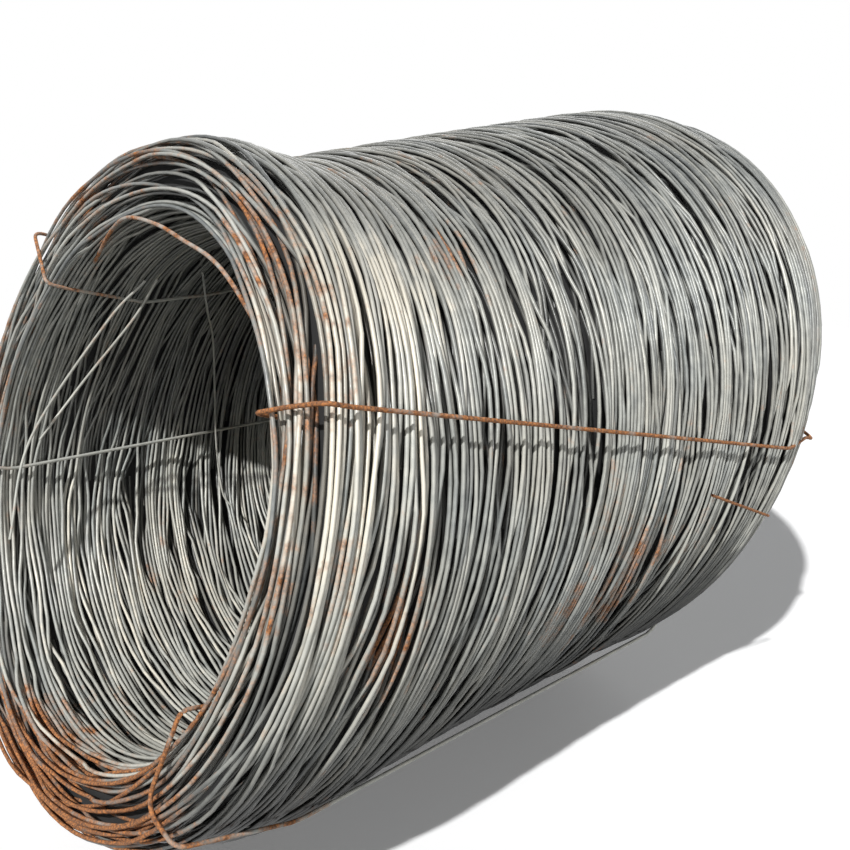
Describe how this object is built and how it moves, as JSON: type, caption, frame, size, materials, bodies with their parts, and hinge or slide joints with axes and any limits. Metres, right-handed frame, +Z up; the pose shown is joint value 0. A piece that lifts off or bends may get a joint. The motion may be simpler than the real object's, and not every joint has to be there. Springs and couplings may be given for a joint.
{
  "type": "coil of wire rod",
  "caption": "Coil of hot-rolled steel wire rod lying on its side, its leaning turns bound by tie wires through the open eye.",
  "frame": {"origin": "middle of the coil's footprint, on the floor it lies on", "axes": "+Z up, +Y along the coil from its open front end to its back end, +X to the right seen from the front"},
  "size_m": [1.3108, 1.5952, 1.2471],
  "materials": {
    "rod_steel": "grey mill scale with patches of orange rust",
    "tie_steel": "mill scale browned by rust"
  },
  "bodies": {
    "root": {"rod_coil": "rod_steel", "tie_wire_right": "tie_steel", "tie_wire_left": "tie_steel", "tie_wire_bottom": "tie_steel", "tie_wire_top": "tie_steel"}
  },
  "joints": []
}
